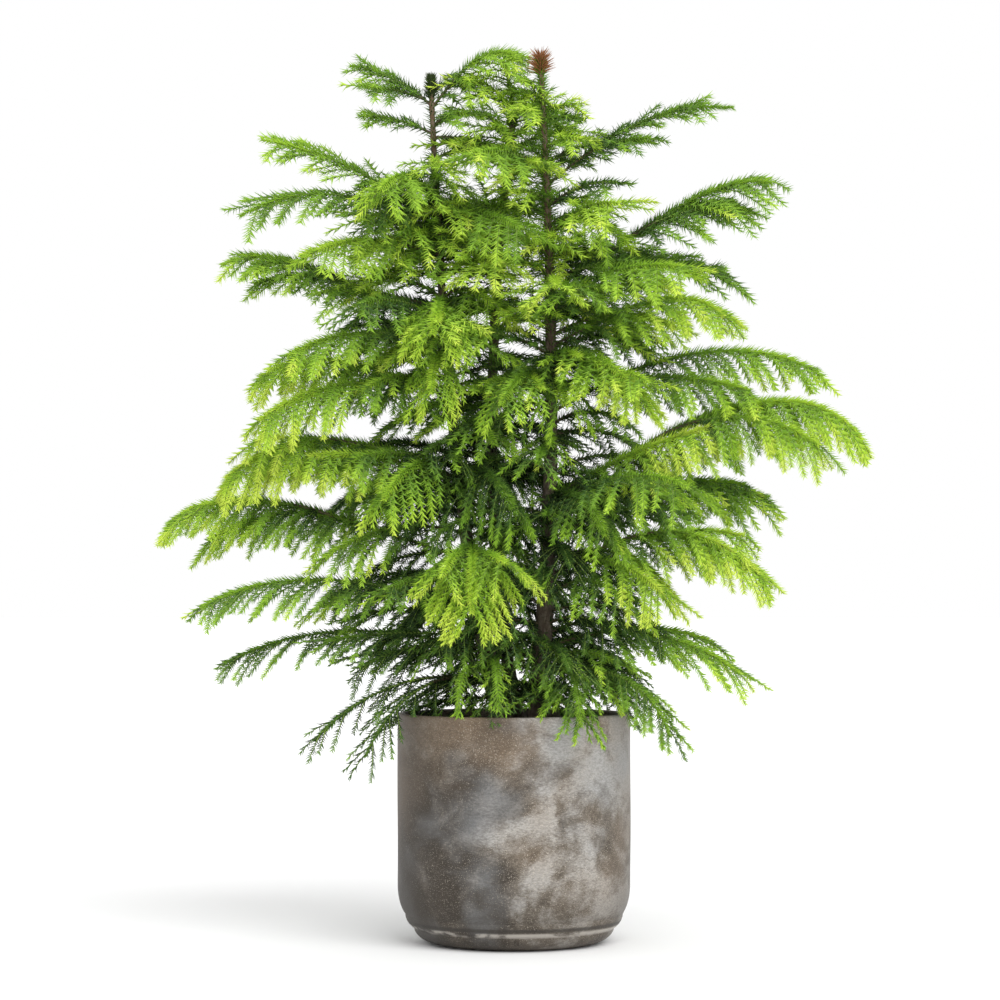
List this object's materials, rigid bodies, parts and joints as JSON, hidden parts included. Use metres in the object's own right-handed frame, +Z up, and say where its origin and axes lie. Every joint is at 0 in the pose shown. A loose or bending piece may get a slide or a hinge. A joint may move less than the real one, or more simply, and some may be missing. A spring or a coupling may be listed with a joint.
{
  "type": "potted norfolk island pine",
  "caption": "Potted evergreen conifer: slender upright stems in a round straight-sided pot, with tiers of spreading boughs that carry drooping sprays of short needles.",
  "frame": {"origin": "centre of the pot's flat underside, on the floor that it stands on", "axes": "+Z up along the pot's axis, +Y away from the front, +X to the right as seen from the front"},
  "size_m": [0.8786, 0.5338, 1.0772],
  "materials": {
    "pot_glaze": "satin, mottled grey-brown",
    "soil": "matte",
    "bark": "matte",
    "needles": "satin"
  },
  "bodies": {
    "root": {"pot": "pot_glaze", "soil": "soil", "left_stem": "bark", "right_stem": "bark", "back_stem": "bark", "left_shelf_out_limb": "bark", "left_waist_out_limb": "bark", "left_long_out_limb": "bark", "right_upper_out_limb": "bark", "right_middle_out_limb": "bark", "right_long_out_limb": "bark", "left_crown_out": "needles", "left_crown_in": "needles", "left_collar_out": "needles", "left_collar_in": "needles", "left_upper_spear": "needles", "left_upper_sickle": "needles", "left_upper_front": "needles", "left_upper_near": "needles", "left_upper_back": "needles", "left_shelf_front": "needles", "left_shelf_out": "needles", "left_shelf_low": "needles", "left_shelf_near": "needles", "left_shelf_back": "needles", "left_middle_out": "needles", "left_middle_front": "needles", "left_waist_out": "needles", "left_waist_front": "needles", "left_waist_near": "needles", "left_waist_back": "needles", "left_long_out": "needles", "left_fan_front": "needles", "left_low_out": "needles", "left_low_back": "needles", "left_skirt_out": "needles", "left_hem_out": "needles", "right_crown_out": "needles", "right_collar_out": "needles", "right_collar_front": "needles", "right_upper_near": "needles", "right_upper_out": "needles", "right_upper_back": "needles", "right_shelf_front": "needles", "right_shelf_out": "needles", "right_shelf_back": "needles", "right_middle_out": "needles", "right_middle_near": "needles", "right_middle_front": "needles", "right_long_out": "needles", "right_waist_low": "needles", "right_waist_front": "needles", "right_waist_back": "needles", "right_low_out": "needles", "right_hem_out": "needles", "right_hem_back": "needles", "right_hem_low": "needles", "back_crown": "needles", "back_upper_left": "needles", "back_middle": "needles"}
  },
  "joints": []
}
